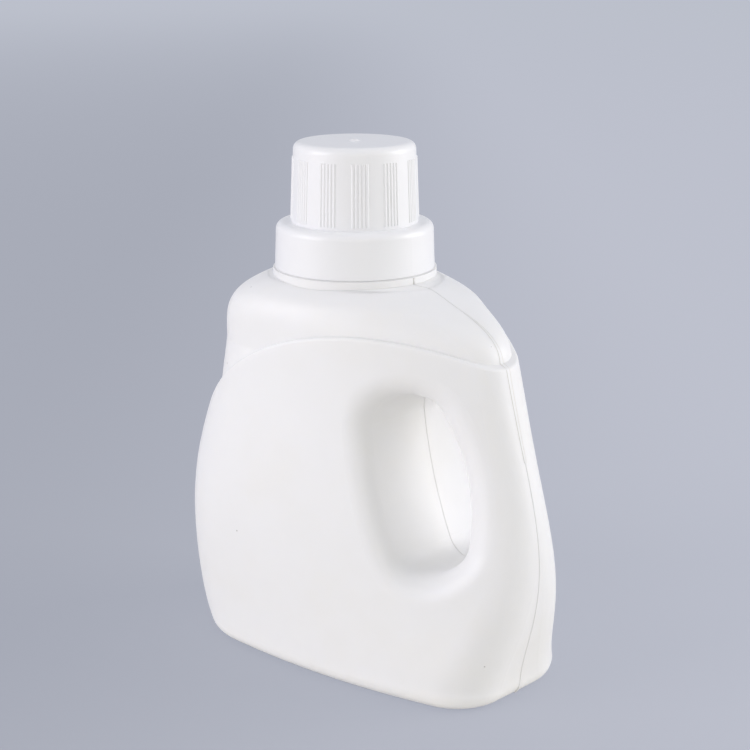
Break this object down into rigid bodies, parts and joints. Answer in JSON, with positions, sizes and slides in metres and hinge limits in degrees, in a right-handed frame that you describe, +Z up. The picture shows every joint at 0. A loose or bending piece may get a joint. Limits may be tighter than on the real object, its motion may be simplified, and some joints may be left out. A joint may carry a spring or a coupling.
{
  "type": "laundry detergent bottle",
  "caption": "Squat blow-moulded detergent bottle with a moulded-in side handle, arched label panel, drain-back pouring spout and a stepped, ribbed measuring cap.",
  "frame": {"origin": "on the floor, under the middle of the bottle", "axes": "+Z up, +X towards the handle, -Y the front label panel that the camera sees on the left"},
  "size_m": [0.1482, 0.0962, 0.1905],
  "materials": {
    "bottle_hdpe": "white high-density polyethylene, satin from the mould",
    "cap_pp": "white polypropylene, semi-gloss",
    "spout_ldpe": "natural white low-density polyethylene"
  },
  "bodies": {
    "bottle": {"bottle": "bottle_hdpe", "pour_spout": "spout_ldpe"},
    "cap": {"measuring_cap": "cap_pp"}
  },
  "joints": [
    {"name": "cap_lift", "type": "slide", "parent": "bottle", "child": "cap", "axis": [0, 0, 1], "range_m": [0, 0.06]}
  ]
}
